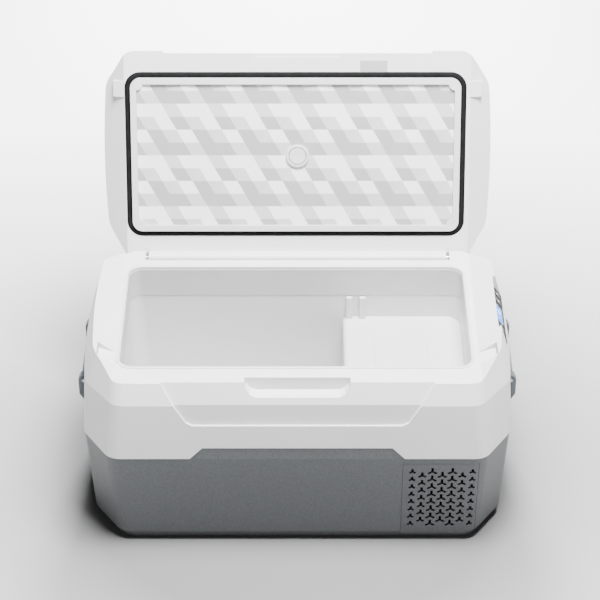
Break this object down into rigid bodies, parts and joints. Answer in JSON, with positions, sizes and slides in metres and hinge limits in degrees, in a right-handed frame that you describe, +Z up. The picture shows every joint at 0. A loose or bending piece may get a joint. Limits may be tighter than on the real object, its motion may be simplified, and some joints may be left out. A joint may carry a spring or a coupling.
{
  "type": "compressor cooler fridge",
  "caption": "Portable compressor cooler box with a hinged insulated lid, a stepped tub, fold-down side handles, a vent grille and a side control panel.",
  "frame": {"origin": "middle of the base's underside, on the floor", "axes": "+X along the length towards the control panel, +Y from the front to the hinge side, +Z up"},
  "size_m": [0.57, 0.4397, 0.5108],
  "materials": {
    "white_shell": "fine satin texture",
    "white_liner": "smooth satin",
    "grey_shell": "fine metallic grain",
    "grey_handle": "satin",
    "foam": "expanded foam",
    "seal_rubber": "soft matt",
    "aluminium_sheet": "mill",
    "copper_tube": "drawn copper",
    "steel": "zinc plated",
    "black_metal": "semi-gloss black",
    "black_plastic": "satin",
    "board": "solder mask",
    "panel_gloss": "piano gloss",
    "display": "tinted window",
    "button": "gloss with a pale mark",
    "label": "printed film"
  },
  "bodies": {
    "cabinet": {"base_shell": "grey_shell", "upper_shell": "white_shell", "tub_liner": "white_liner", "foam_insulation": "foam", "evaporator_sheet": "aluminium_sheet", "evaporator_tube": "copper_tube", "temperature_probe": "steel", "front_vent_cover": "grey_shell", "rear_vent_cover": "grey_shell", "rear_vent_screws": "steel", "shell_screws": "steel", "foot_pads": "seal_rubber", "compressor_tray": "steel", "compressor_grommets": "seal_rubber", "compressor": "black_metal", "compressor_terminal_cover": "black_plastic", "condenser_fins": "aluminium_sheet", "condenser_tube": "copper_tube", "fan_shroud": "black_plastic", "filter_drier": "copper_tube", "capillary_tube": "copper_tube", "suction_line": "copper_tube", "discharge_line": "copper_tube", "control_board": "board", "board_heatsink": "aluminium_sheet", "board_standoffs": "steel", "power_inlet": "black_plastic", "control_panel": "panel_gloss", "display_lens": "display", "display_board": "board", "display_cable": "black_plastic", "handle_pins_left": "steel", "handle_pins_right": "steel", "hinge_pin_left": "steel", "hinge_pin_right": "steel"},
    "lid": {"lid_outer_shell": "white_shell", "lid_inner_frame": "white_shell", "lid_liner": "white_liner", "lid_gasket": "seal_rubber", "lid_foam": "foam", "lid_foam_plug": "white_liner", "lid_label": "label", "lid_hinge_bar": "white_shell", "lid_hinge_screws": "steel"},
    "fan": {"fan_rotor": "black_plastic"},
    "handle_left": {"handle_left": "grey_handle"},
    "handle_right": {"handle_right": "grey_handle"},
    "power_button": {"power_button": "button"},
    "set_button": {"set_button": "button"},
    "up_button": {"up_button": "button"},
    "down_button": {"down_button": "button"}
  },
  "joints": [
    {"name": "lid_hinge", "type": "hinge", "parent": "cabinet", "child": "lid", "pos_m": [0, 0.138, 0.251], "axis": [1, 0, 0], "range_deg": [0, 111]},
    {"name": "fan_spin", "type": "hinge", "parent": "cabinet", "child": "fan", "pos_m": [0.184, -0.104, 0.08], "axis": [0, 1, 0], "continuous": true},
    {"name": "handle_left_swing", "type": "hinge", "parent": "cabinet", "child": "handle_left", "pos_m": [-0.2775, 0, 0.1985], "axis": [0, 1, 0], "range_deg": [0, 95]},
    {"name": "handle_right_swing", "type": "hinge", "parent": "cabinet", "child": "handle_right", "pos_m": [0.2775, 0, 0.1985], "axis": [0, -1, 0], "range_deg": [0, 95]},
    {"name": "power_press", "type": "slide", "parent": "cabinet", "child": "power_button", "axis": [-0.8192, 0, -0.5736], "range_m": [0, 0.0006], "stiffness_N_per_m": 800},
    {"name": "set_press", "type": "slide", "parent": "cabinet", "child": "set_button", "axis": [-0.8192, 0, -0.5736], "range_m": [0, 0.0006], "stiffness_N_per_m": 800},
    {"name": "up_press", "type": "slide", "parent": "cabinet", "child": "up_button", "axis": [-0.8192, 0, -0.5736], "range_m": [0, 0.0006], "stiffness_N_per_m": 800},
    {"name": "down_press", "type": "slide", "parent": "cabinet", "child": "down_button", "axis": [-0.8192, 0, -0.5736], "range_m": [0, 0.0006], "stiffness_N_per_m": 800}
  ]
}
